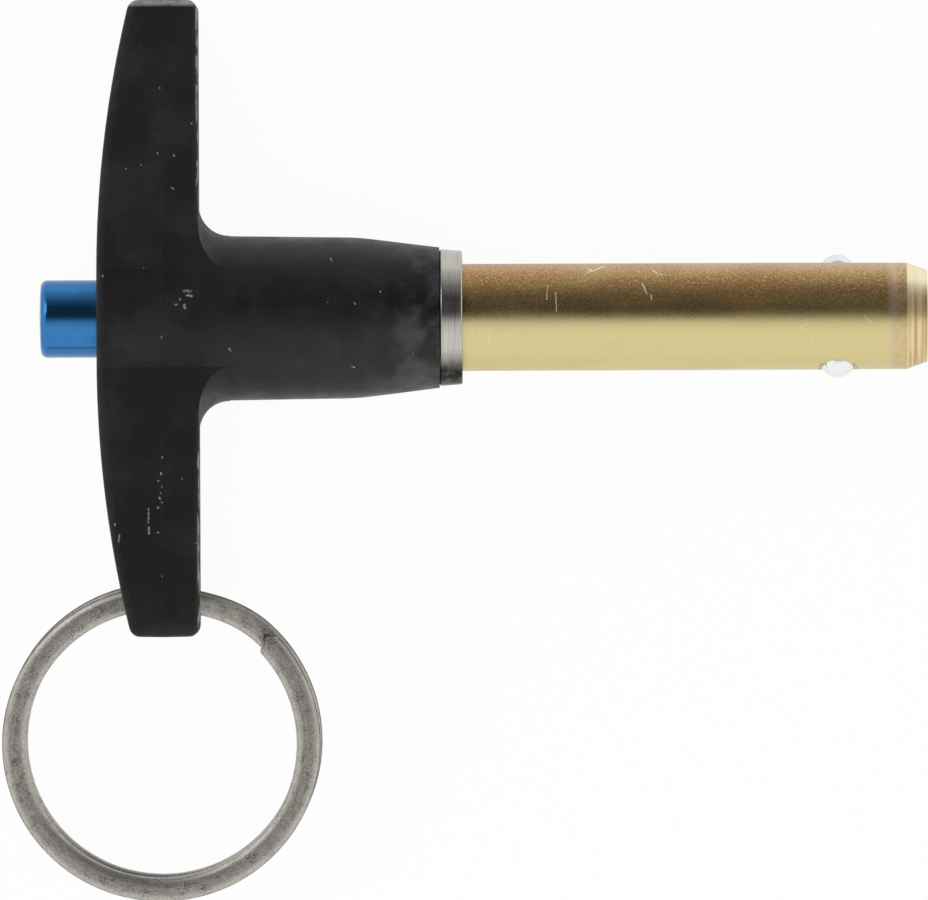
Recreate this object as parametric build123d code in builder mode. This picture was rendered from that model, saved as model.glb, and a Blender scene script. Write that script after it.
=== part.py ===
from build123d import *
from math import atan, cos, degrees, radians, sin, sqrt, tan
import os

# A ball lock pin: a hollow shank with two locking balls, held by a moulded T handle. Pressing the
# button in the handle pushes the spindle forward, its ramp passes under the balls and they sink into
# the shank. +X runs along the pin from the handle to the tip, +Y along the crossbar away from the
# split ring, and +Z is up with the pin lying on its side. The origin is on the pin's axis at the
# shoulder, where the grip begins. All sizes are in millimetres.

# Shank
shank_diameter = 9.525
grip_length = 31.75  # from the shoulder to the near side of the balls
shank_length = 41.3  # from the shoulder to the tip
tip_chamfer_length = 1.8
tip_chamfer_depth = 0.65
nose_relief = 0.03  # the shank narrows by this much on radius past the grip
relief_lead = 0.05  # how far behind the stake marks that narrowing begins
tail_length = 22.0  # the turned-down part that the handle is moulded on
tail_diameter = 8.8
retaining_groove_depth = 0.4
retaining_groove_width = 1.6
retaining_groove_count = 3
retaining_groove_pitch = 3.6
first_groove_from_shoulder = 5.4
spring_pocket_diameter = 6.7
spring_pocket_length = 8.0
drill_point_angle = 118
bore_end_gap = 0.3  # between the bore's floor and the pressed spindle

# Locking balls
ball_diameter = 3.175
ball_protrusion = 0.85
ball_travel = 0.9
ball_axis_turn = 15.5  # degrees that the balls' line is turned about the pin's axis
stake_ring_diameter = 3.56
stake_ring_width = 0.16
stake_ring_depth = 0.12
stake_lip_width = 0.18
stake_lip_height = 0.39

# Spindle and button
button_travel = 3.8
spindle_nose = 1.1  # land ahead of the balls
spindle_chamfer = 0.3
stem_diameter = 3.5
stem_relief = 1.5  # plain land between the spring's seat and the stem
button_diameter = 6.9
button_protrusion = 5.1
button_edge_radius = 0.6
button_dome = 0.15
button_flange_diameter = 7.9
button_flange_thickness = 1.2
stem_seat_depth = 5.6

# Return spring
spring_wire = 0.65
spring_outer_diameter = 6.15
spring_free_coils = 8
spring_closed_coil_gap = 0.02

# Collar
collar_length = 2.04
collar_back_diameter = 12.2
collar_front_diameter = 11.9
collar_edge_radius = 0.2
collar_recess_depth = 0.12  # the shoulder of the shank sits in it

# Handle
crossbar_length = 56.6
crossbar_depth = 12.0
crossbar_middle_width = 9.1
crossbar_back_radius = 100.8
crossbar_land = 7.6  # flat middle of the crossbar's back
crossbar_end_radius = 1.1
crossbar_edge_radius = 0.8
crossbar_draft = 1.0
parting_line_offset = 3.3  # from the finger face to the mould's parting line
barrel_length = 21.36  # from the finger face to the collar
barrel_root_diameter = 14.7
barrel_neck_diameter = 14.3
barrel_front_diameter = 12.5
neck_cone_length = 7.2
neck_blend_radius = 22.0
barrel_flare_radius = 2.7
boss_edge_radius = 0.7
back_wall = 2.0
ring_hole_diameter = 3.8
ring_hole_inset = 3.5  # from the crossbar's end to the hole's middle
ring_hole_rim = 0.35

# Split ring
ring_outer_diameter = 28.575
ring_wire_width = 2.13
ring_wire_thickness = 1.15
ring_wire_rounding = 0.42
ring_coil_gap = 0.04
joggle_angle = 35.0
coil_end_gap = 2.0  # degrees between a coil's end and the joggle
ring_cut_angle = 45.0  # where the upper coil ends, counted from +X
ring_tilt = 8.3  # how far the ring hangs below the crossbar's middle plane
ring_sag = 0.23  # the wire is curved, so it meets the hole's middle this far below its crown

# Clearances
running_gap = 0.07
ball_hole_gap = 0.05
land_gap = 0.06
ramp_gap = 0.03
cavity_gap = 0.25
seat_gap = 0.02
grip_gap = 0.05

# Places that several pieces share
shank_radius = shank_diameter / 2
ball_radius = ball_diameter / 2
ball_x = grip_length + ball_radius
ball_out = shank_radius + ball_protrusion - ball_radius
land_radius = ball_out - ball_radius - land_gap
bore_radius = land_radius + running_gap
ball_hole_radius = ball_radius + ball_hole_gap
spindle_front = ball_x + spindle_nose
finger_face = -(collar_length + barrel_length)
handle_back = finger_face - crossbar_middle_width
back_wall_inside = handle_back + back_wall
button_front = back_wall_inside + button_flange_thickness
spring_seat = -tail_length + spring_pocket_length
ball_direction = Vector(0, cos(radians(ball_axis_turn)), -sin(radians(ball_axis_turn)))
hole_y = -(crossbar_length / 2 - ring_hole_inset)
tail_radius = tail_diameter / 2
stem_radius = stem_diameter / 2
socket_radius = tail_radius + seat_gap
cavity_radius = button_flange_diameter / 2 + cavity_gap
button_hole_radius = button_diameter / 2 + running_gap
groove_places = [
    -(first_groove_from_shoulder + n * retaining_groove_pitch) for n in range(retaining_groove_count)
]

os.makedirs("parts", exist_ok=True)

# ---------------------------------------------------------------- handle
# The silhouette from above: a flat finger face, square ends and a back that bows towards the ends.
half_length = crossbar_length / 2
half_land = crossbar_land / 2
end_bow = crossbar_back_radius - sqrt(crossbar_back_radius**2 - (half_length - half_land) ** 2)
back_at_end = handle_back + end_bow
parting_x = finger_face - parting_line_offset
parting_plane = Plane(origin=(parting_x, 0, 0), x_dir=(0, 1, 0), z_dir=(1, 0, 0))

with BuildPart() as crossbar_outline:
    with BuildSketch(Plane.XY) as silhouette:
        with BuildLine():
            Line((finger_face, -half_length), (finger_face, half_length))
            Line((finger_face, half_length), (back_at_end, half_length))
            RadiusArc((back_at_end, half_length), (handle_back, half_land), -crossbar_back_radius)
            Line((handle_back, half_land), (handle_back, -half_land))
            RadiusArc((handle_back, -half_land), (back_at_end, -half_length), -crossbar_back_radius)
            Line((back_at_end, -half_length), (finger_face, -half_length))
        make_face()
        end_corners = silhouette.vertices().filter_by(lambda v: abs(v.Y) > half_length - seat_gap)
        fillet(end_corners, radius=crossbar_end_radius)
    extrude(amount=crossbar_depth, both=True)

# The trumpet where the barrel leaves the crossbar, cut to the crossbar's drafted depth.
flare_end = finger_face + barrel_flare_radius
flare_rim = barrel_root_diameter / 2 + barrel_flare_radius
flare_root = finger_face - crossbar_edge_radius
with BuildPart() as flare:
    with BuildSketch(parting_plane):
        Rectangle(crossbar_length, crossbar_depth)
    extrude(amount=flare_end - parting_x, taper=crossbar_draft)
    with BuildSketch(Plane.XY):
        with BuildLine():
            Polyline((finger_face, flare_rim), (flare_root, flare_rim), (flare_root, 0), (flare_end, 0))
            Line((flare_end, 0), (flare_end, barrel_root_diameter / 2))
            flare_start = (flare_end, barrel_root_diameter / 2)
            RadiusArc(flare_start, (finger_face, flare_rim), barrel_flare_radius)
        make_face()
    revolve(axis=Axis.X, mode=Mode.INTERSECT)

# The crossbar is drafted both ways from the parting line. The barrel runs through it to the back.
neck_x = -(collar_length + neck_cone_length)
boss_radius = barrel_root_diameter / 2
boss_bow = crossbar_back_radius - sqrt(crossbar_back_radius**2 - (boss_radius - half_land) ** 2)
with BuildPart() as handle:
    with BuildSketch(parting_plane):
        RectangleRounded(crossbar_length, crossbar_depth, crossbar_end_radius)
    extrude(amount=parting_line_offset, taper=crossbar_draft)
    with BuildSketch(parting_plane):
        RectangleRounded(crossbar_length, crossbar_depth, crossbar_end_radius)
    extrude(amount=-(crossbar_middle_width - parting_line_offset), taper=crossbar_draft)
    add(crossbar_outline.part, mode=Mode.INTERSECT)
    fillet(handle.edges().filter_by(lambda e: abs(e.center().X - parting_x) > 1), crossbar_edge_radius)
    add(flare.part)
    with BuildSketch(Plane.XY) as barrel_profile:
        with BuildLine():
            Line((handle_back, 0), (handle_back, half_land))
            boss_corner = (handle_back + boss_bow, boss_radius)
            RadiusArc((handle_back, half_land), boss_corner, crossbar_back_radius)
            Line(boss_corner, (finger_face, boss_radius))
            Line((finger_face, boss_radius), (neck_x, barrel_neck_diameter / 2))
            Line((neck_x, barrel_neck_diameter / 2), (-collar_length, barrel_front_diameter / 2))
            Polyline((-collar_length, barrel_front_diameter / 2), (-collar_length, 0), (handle_back, 0))
        make_face()
        neck = barrel_profile.vertices().sort_by_distance((neck_x, barrel_neck_diameter / 2))[0]
        fillet(neck, radius=neck_blend_radius)
        corner = barrel_profile.vertices().sort_by_distance(boss_corner)[0]
        fillet(corner, radius=boss_edge_radius)
    revolve(axis=Axis.X)
    # Behind the shank the bore widens for the button's flange, and the back wall holds the button in.
    with BuildSketch(Plane.XY):
        with BuildLine():
            Polyline(
                (handle_back - back_wall, 0),
                (handle_back - back_wall, button_hole_radius),
                (back_wall_inside, button_hole_radius),
                (back_wall_inside, cavity_radius),
                (-tail_length - seat_gap, cavity_radius),
                (-tail_length - seat_gap, socket_radius),
                (0, socket_radius),
                (0, 0),
                close=True,
            )
        make_face()
    revolve(axis=Axis.X, mode=Mode.SUBTRACT)
    # Ribs of the moulding fill the shank's retaining grooves.
    rib_width = retaining_groove_width - 2 * seat_gap
    rib_height = 2 * retaining_groove_depth - seat_gap
    with BuildSketch(Plane.XY):
        with Locations([(x, tail_radius + seat_gap / 2) for x in groove_places]):
            Rectangle(rib_width, rib_height)
    revolve(axis=Axis.X)
    with BuildSketch(Plane(origin=(handle_back, hole_y, 0), z_dir=(1, 0, 0))):
        Circle(ring_hole_diameter / 2)
    extrude(amount=crossbar_middle_width, mode=Mode.SUBTRACT)
    hole_rims = handle.edges(Select.LAST).filter_by(GeomType.LINE, reverse=True)
    fillet(hole_rims, ring_hole_rim)

handle.part.label = "handle"
export_step(handle.part, "parts/handle.step")

# ---------------------------------------------------------------- collar
# A turned steel ring between the handle and the shoulder. Its front face is where the grip begins.
with BuildPart() as collar:
    with BuildSketch(Plane.XY) as collar_profile:
        recess_radius = shank_radius + grip_gap
        with BuildLine():
            Polyline(
                (-collar_length, socket_radius),
                (-collar_length, collar_back_diameter / 2),
                (0, collar_front_diameter / 2),
                (0, recess_radius),
                (-collar_recess_depth, recess_radius),
                (-collar_recess_depth, socket_radius),
                close=True,
            )
        make_face()
        outer_corners = collar_profile.vertices().sort_by(Axis.Y)[-2:]
        fillet(outer_corners, radius=collar_edge_radius)
    revolve(axis=Axis.X)

collar.part.label = "collar"
export_step(collar.part, "parts/collar.step")

# ---------------------------------------------------------------- shank
bore_end = spindle_front + button_travel + bore_end_gap
drill_point_length = bore_radius / tan(radians(drill_point_angle / 2))
nose_radius = shank_radius - nose_relief
relief_start = ball_x - stake_ring_diameter / 2 - relief_lead
with BuildPart() as shank:
    with BuildSketch(Plane.XY):
        with BuildLine():
            Polyline(
                (-tail_length, 0),
                (-tail_length, tail_radius),
                (-collar_recess_depth, tail_radius),
                (-collar_recess_depth, shank_radius),
                (relief_start, shank_radius),
                (shank_length - tip_chamfer_length, nose_radius),
                (shank_length, nose_radius - tip_chamfer_depth),
                (shank_length, 0),
                close=True,
            )
        make_face()
    revolve(axis=Axis.X)
    with BuildSketch(Plane.XY):
        with Locations([(x, tail_radius) for x in groove_places]):
            Rectangle(retaining_groove_width, 2 * retaining_groove_depth)
    revolve(axis=Axis.X, mode=Mode.SUBTRACT)
    with BuildSketch(Plane.XY):
        with BuildLine():
            Polyline(
                (-tail_length, 0),
                (-tail_length, spring_pocket_diameter / 2),
                (spring_seat, spring_pocket_diameter / 2),
                (spring_seat, bore_radius),
                (bore_end, bore_radius),
                (bore_end + drill_point_length, 0),
                close=True,
            )
        make_face()
    revolve(axis=Axis.X, mode=Mode.SUBTRACT)
    # Each ball hole is staked: a ring punch closes its mouth to a lip that the ball can't pass.
    for way in (ball_direction, -ball_direction):
        hole_middle = Vector(ball_x, 0, 0)
        hole_plane = Plane(origin=hole_middle, x_dir=(1, 0, 0), z_dir=Vector(1, 0, 0).cross(way))
        with BuildSketch(hole_plane):
            with BuildLine():
                Polyline(
                    (0, 0),
                    (ball_hole_radius, 0),
                    (ball_hole_radius, shank_radius - stake_lip_height),
                    (ball_hole_radius - stake_lip_width, shank_radius),
                    (ball_hole_radius - stake_lip_width, shank_diameter),
                    (0, shank_diameter),
                    close=True,
                )
            make_face()
        revolve(axis=Axis(hole_middle, way), mode=Mode.SUBTRACT)
        punch_face = hole_middle + way * (shank_radius - stake_ring_depth)
        with BuildSketch(Plane(origin=punch_face, x_dir=(1, 0, 0), z_dir=way)):
            Circle(stake_ring_diameter / 2)
            Circle(stake_ring_diameter / 2 - stake_ring_width, mode=Mode.SUBTRACT)
        extrude(amount=shank_radius, mode=Mode.SUBTRACT)

shank.part.label = "shank"
export_step(shank.part, "parts/shank.step")

# ---------------------------------------------------------------- locking balls
for name, way in (("ball_upper", ball_direction), ("ball_lower", -ball_direction)):
    with BuildPart() as ball:
        with Locations(Vector(ball_x, 0, 0) + way * ball_out):
            Sphere(ball_radius)
    ball.part.label = name
    export_step(ball.part, f"parts/{name}.step")

# ---------------------------------------------------------------- spindle
# At rest the balls sit on the land at the head of the ramp. Seen from the spindle, a ball's middle
# travels along a straight line, so the ramp runs parallel to that line and the groove ends in an arc
# about the ball's sunk place.
ramp_angle = atan(ball_travel / button_travel)
clear_radius = ball_radius + ramp_gap
sunk_x = ball_x - button_travel
sunk_y = ball_out - ball_travel
ramp_foot = (sunk_x + clear_radius * sin(ramp_angle), sunk_y - clear_radius * cos(ramp_angle))
ramp_top = (ramp_foot[0] + (land_radius - ramp_foot[1]) / tan(ramp_angle), land_radius)
groove_back = (sunk_x - sqrt(clear_radius**2 - (sunk_y - land_radius) ** 2), land_radius)
groove_floor = (sunk_x, sunk_y - clear_radius)
stem_end = button_front - stem_seat_depth
stem_front = spring_seat + stem_relief
with BuildPart() as spindle:
    with BuildSketch(Plane.XY):
        with BuildLine():
            Polyline((stem_end, 0), (stem_end, stem_radius), (stem_front, stem_radius))
            Polyline((stem_front, stem_radius), (stem_front, land_radius), groove_back)
            ThreePointArc(groove_back, groove_floor, ramp_foot)
            Polyline(ramp_foot, ramp_top, (spindle_front - spindle_chamfer, land_radius))
            spindle_tip = (spindle_front, land_radius - spindle_chamfer)
            Line((spindle_front - spindle_chamfer, land_radius), spindle_tip)
            Polyline(spindle_tip, (spindle_front, 0), (stem_end, 0))
        make_face()
    revolve(axis=Axis.X)

spindle.part.label = "spindle"
export_step(spindle.part, "parts/spindle.step")

# ---------------------------------------------------------------- button
button_back = handle_back - button_protrusion
button_radius = button_diameter / 2
with BuildPart() as button:
    with BuildSketch(Plane.XY) as button_profile:
        rim = (button_back + button_dome, button_radius)
        with BuildLine():
            crown = sqrt(button_radius**2 + button_dome**2)
            dome_radius = crown**2 / (2 * button_dome)
            RadiusArc((button_back, 0), rim, dome_radius)
            Polyline(
                rim,
                (back_wall_inside, button_radius),
                (back_wall_inside, button_flange_diameter / 2),
                (button_front, button_flange_diameter / 2),
                (button_front, stem_radius + seat_gap),
                (stem_end - seat_gap, stem_radius + seat_gap),
                (stem_end - seat_gap, 0),
                (button_back, 0),
            )
        make_face()
        fillet(button_profile.vertices().sort_by_distance(rim)[0], radius=button_edge_radius)
    revolve(axis=Axis.X)

button.part.label = "button"
export_step(button.part, "parts/button.step")

# ---------------------------------------------------------------- return spring
# A round-wire compression spring with one closed coil at each end, ground flat on its seats. It is
# wound about Z from its foot at the origin, and then laid along the pin.
spring_radius = (spring_outer_diameter - spring_wire) / 2
spring_length = spring_seat - button_front - 2 * seat_gap
closed_pitch = spring_wire + spring_closed_coil_gap
open_pitch = (spring_length - 2 * closed_pitch) / spring_free_coils
with BuildPart() as return_spring:
    foot = 0
    for pitch, turns in ((closed_pitch, 1), (open_pitch, spring_free_coils), (closed_pitch, 1)):
        with BuildLine() as wire_path:
            Helix(pitch, pitch * turns, spring_radius, center=(0, 0, foot))
        with BuildSketch(Plane.XZ):
            with Locations((spring_radius, foot)):
                Circle(spring_wire / 2)
        sweep(path=wire_path.line, is_frenet=True)
        foot = foot + pitch * turns
    with BuildSketch(Plane.XY):
        Circle(spring_outer_diameter)
    extrude(amount=spring_length, mode=Mode.INTERSECT)

return_spring.part.location = Plane(origin=(button_front + seat_gap, 0, 0), z_dir=(1, 0, 0)).location
return_spring.part.label = "return_spring"
export_step(return_spring.part, "parts/return_spring.step")

# ---------------------------------------------------------------- split ring
# Two flat coils of one wire, joined by a joggle that climbs from the lower coil to the upper. It is
# wound about Z with the joggle's foot on +X, and then hung in the handle's hole.
ring_radius = (ring_outer_diameter - ring_wire_width) / 2
coil_pitch = ring_wire_thickness + ring_coil_gap
coil_arc = 360 - joggle_angle - coil_end_gap
joggle_top = Plane.XZ.rotated((0, 0, joggle_angle))


def wire_section(height):
    """Draw the wire's section, a flat bar with rounded corners, on the sketch in hand."""
    with Locations((ring_radius, height)):
        RectangleRounded(ring_wire_width, ring_wire_thickness, ring_wire_rounding)


with BuildPart() as split_ring:
    with BuildSketch(Plane.XZ):
        wire_section(-coil_pitch / 2)
    revolve(axis=-Axis.Z, revolution_arc=coil_arc)
    with BuildLine() as joggle:
        full_turn_rise = coil_pitch * 360 / joggle_angle
        Helix(full_turn_rise, coil_pitch, ring_radius, center=(0, 0, -coil_pitch / 2))
    with BuildSketch(Plane.XZ):
        wire_section(-coil_pitch / 2)
    sweep(path=joggle.line, is_frenet=True)
    with BuildSketch(joggle_top):
        wire_section(coil_pitch / 2)
    revolve(axis=Axis.Z, revolution_arc=coil_arc)

back_at_hole = handle_back + crossbar_back_radius - sqrt(
    crossbar_back_radius**2 - (-hole_y - half_land) ** 2
)
tilt = radians(ring_tilt)
hang = ring_radius - ring_sag
joggle_foot = radians(ring_cut_angle + coil_end_gap)
ring_middle = ((finger_face + back_at_hole) / 2, hole_y - hang * cos(tilt), -hang * sin(tilt))
ring_plane = Plane(
    origin=ring_middle,
    x_dir=(cos(joggle_foot), sin(joggle_foot) * cos(tilt), sin(joggle_foot) * sin(tilt)),
    z_dir=(0, -sin(tilt), cos(tilt)),
)
split_ring.part.location = ring_plane.location
split_ring.part.label = "split_ring"
export_step(split_ring.part, "parts/split_ring.step")
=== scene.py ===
from math import cos, pi, radians, sin

import bmesh
import bpy
import numpy as np
from bpy.props import FloatProperty, FloatVectorProperty, IntProperty, PointerProperty
from bpy.types import Operator, Panel, PropertyGroup
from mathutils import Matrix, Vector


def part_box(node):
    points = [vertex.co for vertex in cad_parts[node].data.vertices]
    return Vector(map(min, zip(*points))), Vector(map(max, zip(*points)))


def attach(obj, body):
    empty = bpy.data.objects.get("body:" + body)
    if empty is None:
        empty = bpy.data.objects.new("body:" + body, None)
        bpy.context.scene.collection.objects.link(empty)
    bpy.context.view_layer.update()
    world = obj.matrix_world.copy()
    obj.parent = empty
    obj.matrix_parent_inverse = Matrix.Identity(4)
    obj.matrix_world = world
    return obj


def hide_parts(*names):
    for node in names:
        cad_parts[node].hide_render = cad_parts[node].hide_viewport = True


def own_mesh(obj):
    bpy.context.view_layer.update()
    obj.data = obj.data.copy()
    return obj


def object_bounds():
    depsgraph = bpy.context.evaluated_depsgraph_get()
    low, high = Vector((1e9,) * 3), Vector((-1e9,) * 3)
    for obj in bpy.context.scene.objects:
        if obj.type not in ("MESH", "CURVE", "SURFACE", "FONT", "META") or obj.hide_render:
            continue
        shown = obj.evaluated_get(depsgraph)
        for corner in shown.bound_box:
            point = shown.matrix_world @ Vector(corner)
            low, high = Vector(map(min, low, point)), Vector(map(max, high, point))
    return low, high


bl_info = {
    "name": "Ball lock pin",
    "version": (1, 0, 0),
    "blender": (4, 5, 0),
    "location": "3D View > Sidebar > Ball lock pin",
    "description": "Dresses a T-handle ball lock pin: handle, plated shank, balls, button and split ring",
    "category": "Object",
}

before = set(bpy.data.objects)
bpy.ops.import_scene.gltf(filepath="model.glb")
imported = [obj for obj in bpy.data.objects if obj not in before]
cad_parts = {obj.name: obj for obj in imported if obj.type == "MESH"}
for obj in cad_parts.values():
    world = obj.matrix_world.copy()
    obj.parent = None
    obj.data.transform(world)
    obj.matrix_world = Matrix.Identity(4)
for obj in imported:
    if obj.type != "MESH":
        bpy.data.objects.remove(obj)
cad_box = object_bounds()

MM = 0.001

# sizes that the pieces share with the engineering model
BARREL_LENGTH = 21.36 * MM  # from the handle's finger face to the collar
ARM_TOP = 6 * MM  # half the depth of the handle's two arms
ARM_EDGE = 0.8 * MM  # rounding of the arms' edges
RING_TILT = radians(8.3)  # how far the split ring leans, its near side down
RING_CUT = radians(47)  # where the wire's two ends meet, round from the pin's direction


# ---------------------------------------------------------------- sizes that come from the CAD nodes
def place(node):
    """Lowest and highest corner of a CAD node, in metres, as numpy arrays."""
    return [np.array(corner, float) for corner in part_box(node)]


button_low, button_high = place("button")
collar_low, collar_high = place("collar")
shank_high = place("shank")[1]
handle_high = place("handle")[1]
ring_low, ring_high = place("split_ring")


# ---------------------------------------------------------------- colour and node helpers
def linear(hex_colour):
    """An sRGB hex colour as linear red, green, blue, with full alpha."""
    srgb = np.array([int(hex_colour[i : i + 2], 16) for i in (1, 3, 5)]) / 255
    rgb = np.where(srgb <= 0.04045, srgb / 12.92, ((srgb + 0.055) / 1.055) ** 2.4)
    return (*(float(c) for c in rgb), 1.0)


def add(tree, kind, *inputs, **settings):
    """Adds one node. Settings are its own properties. Inputs come in the order in which the node shows them, or
    in one dict by name. Each is a value, a socket, or a node, which stands for its first shown output."""
    node = tree.nodes.new("ShaderNode" + kind)
    for name, value in settings.items():
        setattr(node, name, value)
    if inputs and isinstance(inputs[0], dict):
        pairs = [(node.inputs[name], value) for name, value in inputs[0].items()]
    else:
        pairs = zip([socket for socket in node.inputs if socket.enabled], inputs)
    for socket, value in pairs:
        if isinstance(value, bpy.types.Node):
            value = next(output for output in value.outputs if output.enabled)
        if isinstance(value, bpy.types.NodeSocket):
            tree.links.new(value, socket)
        else:
            socket.default_value = value
    return node


# settings of a Map Range that carries its value along an S curve, flat past both ends
EASED = {"interpolation_type": "SMOOTHSTEP"}


def finish_named(name):
    """A new material with an empty node tree."""
    material = bpy.data.materials.new(name)
    material.use_nodes = True
    material.node_tree.nodes.clear()
    return material


def per_mm(size):
    """The texture scale at which one feature of a pattern is this many millimetres across."""
    return 1 / (size * MM)


def blotches(tree, where, size, detail=3.0, roughness=0.55, stretch=(1, 1, 1)):
    """A soft random value around 0.5 whose blotches are size mm across, drawn out along an axis by stretch."""
    drawn_out = add(tree, "VectorMath", where, [1 / s for s in stretch], operation="MULTIPLY")
    pattern = {"Vector": drawn_out, "Scale": per_mm(size), "Detail": detail, "Roughness": roughness}
    return add(tree, "TexNoise", pattern)


def specks(tree, where, spacing, size, amount):
    """Small sharp dots, about size mm across, in cells spacing mm apart. Amount is the share of cells that
    have a dot."""
    cells = add(tree, "TexVoronoi", {"Vector": where, "Scale": per_mm(spacing)}).outputs
    dot = add(tree, "MapRange", cells["Distance"], size / spacing * 0.5, size / spacing * 0.2, **EASED)
    chance = add(tree, "SeparateColor", cells["Color"]).outputs[0]
    chosen = add(tree, "Math", chance, amount, operation="LESS_THAN")
    return add(tree, "Math", dot, chosen, operation="MULTIPLY")


def strokes(tree, where, marks, wobble=0.25):
    """Scratches seen from above. Each mark is (x, y, x, y, half width) in mm: the value falls from 1 on the
    line between the two points to 0 at the half width. The lines wander by up to half the wobble, in mm."""
    shaken = add(tree, "TexNoise", {"Vector": where, "Scale": per_mm(0.35), "Detail": 2.0}).outputs["Color"]
    moved = add(tree, "VectorMath", shaken, (wobble * MM,) * 3, where, operation="MULTIPLY_ADD")
    middled = add(tree, "VectorMath", moved, (wobble * MM / 2,) * 3, operation="SUBTRACT")
    flat = add(tree, "VectorMath", middled, (1, 1, 0), operation="MULTIPLY")
    total = 0.0
    for x0, y0, x1, y1, half_width in marks:
        start = np.array([x0, y0, 0]) * MM
        along = np.array([x1 - x0, y1 - y0, 0]) * MM
        unit = along / (along @ along)
        dot = add(tree, "VectorMath", flat, unit, operation="DOT_PRODUCT")
        share = add(tree, "Math", dot, float(start @ unit), operation="SUBTRACT", use_clamp=True)
        nearest = add(tree, "VectorMath", along, share, start, operation="MULTIPLY_ADD")
        distance = add(tree, "VectorMath", flat, nearest, operation="DISTANCE")
        mark = add(tree, "MapRange", distance, half_width * MM, 0.0, **EASED)
        total = add(tree, "Math", mark, total, operation="MAXIMUM")
    height = add(tree, "SeparateXYZ", where).outputs[2]
    upper_side = add(tree, "Math", height, 0.0, operation="GREATER_THAN")
    return add(tree, "Math", total, upper_side, operation="MULTIPLY")


def away_from(tree, value, spot):
    """How far a value is from a spot, on either side of it."""
    past = add(tree, "Math", value, spot, operation="SUBTRACT")
    return add(tree, "Math", past, operation="ABSOLUTE")


def joined(tree, *masks):
    """The strongest of several masks. Each is a tuple of factors, nodes or plain numbers, to be multiplied."""
    strongest = None
    for mask, *factors in masks:
        for factor in factors:
            mask = add(tree, "Math", mask, factor, operation="MULTIPLY")
        strongest = mask if strongest is None else add(tree, "Math", strongest, mask, operation="MAXIMUM")
    return strongest


def painted(tree, under, over, *factors):
    """One colour laid over another, as strongly as the factors of its mask multiplied together."""
    return add(tree, "Mix", joined(tree, factors), under, over, data_type="RGBA")


def relief(tree, *layers):
    """Reliefs laid over each other, lowest first. Each layer is a height from 0 to 1 and the real depth in
    millimetres that it stands for."""
    under = {}
    for height, depth in layers:
        inputs = {"Height": height, "Strength": 1.0, "Distance": depth * MM, **under}
        under = {"Normal": add(tree, "Bump", inputs)}
    return under["Normal"]


def close(tree, **inputs):
    """The Principled shader and the output. Underscores stand for the spaces in a socket's name."""
    named = {name.replace("_", " "): value for name, value in inputs.items()}
    shader = add(tree, "BsdfPrincipled", named)
    add(tree, "OutputMaterial", {"Surface": shader})


def wear(node, material):
    """Gives a CAD node's material slots this material."""
    for place_in_list in range(len(node.material_slots)):
        node.material_slots[place_in_list].material = material


# ---------------------------------------------------------------- surface helpers
def rounded(corners, radii, steps=6):
    """A polyline with its corners rounded. At each corner the two sides are cut back by radius / tan(half the
    angle between them) and joined by an arc about the point one radius from both. A point just outside each end
    of the arc keeps the flats flat."""
    corners = np.array(corners, float)
    points = [corners[:1]]
    for before, corner, after, radius in zip(corners[:-2], corners[1:-1], corners[2:], radii):
        if radius == 0:
            points.append(corner[None])
            continue
        a = (before - corner) / np.linalg.norm(before - corner)
        b = (after - corner) / np.linalg.norm(after - corner)
        half = np.arccos(np.clip(a @ b, -1, 1)) / 2
        back = radius / np.tan(half)
        middle = corner + (a + b) / np.linalg.norm(a + b) * radius / np.sin(half)
        first, last = corner + a * back - middle, corner + b * back - middle
        turn = np.linspace(0, 1, steps + 1)[:, None]
        span = pi - 2 * half
        arc = (np.sin((1 - turn) * span) * first + np.sin(turn * span) * last) / np.sin(span)
        support = radius * 0.15
        ends = np.array([corner + a * (back + support), corner + b * (back + support)])
        points += [ends[:1], middle + arc, ends[1:]]
    points.append(corners[-1:])
    return np.vstack(points)


def turned(profile, columns):
    """A profile of (along the pin, radius) points carried round the pin's axis: at angle t a point is
    (along, radius cos t, radius sin t)."""
    t = np.arange(columns) * 2 * pi / columns
    x, r = profile[:, :1], profile[:, 1:]
    return np.stack([x + 0 * t, r * np.cos(t), r * np.sin(t)], axis=-1)


def spacing(points):
    """Distance along a grid's rows, in metres: the sum of the longest step between each row and the next."""
    steps = np.linalg.norm(np.diff(points, axis=0), axis=2).max(axis=1)
    return np.r_[0, np.cumsum(steps)]


def girth_of(points):
    """The length round a grid's longest row, in metres."""
    return float(np.linalg.norm(points - np.roll(points, 1, axis=1), axis=2).sum(axis=1).max())


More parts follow.
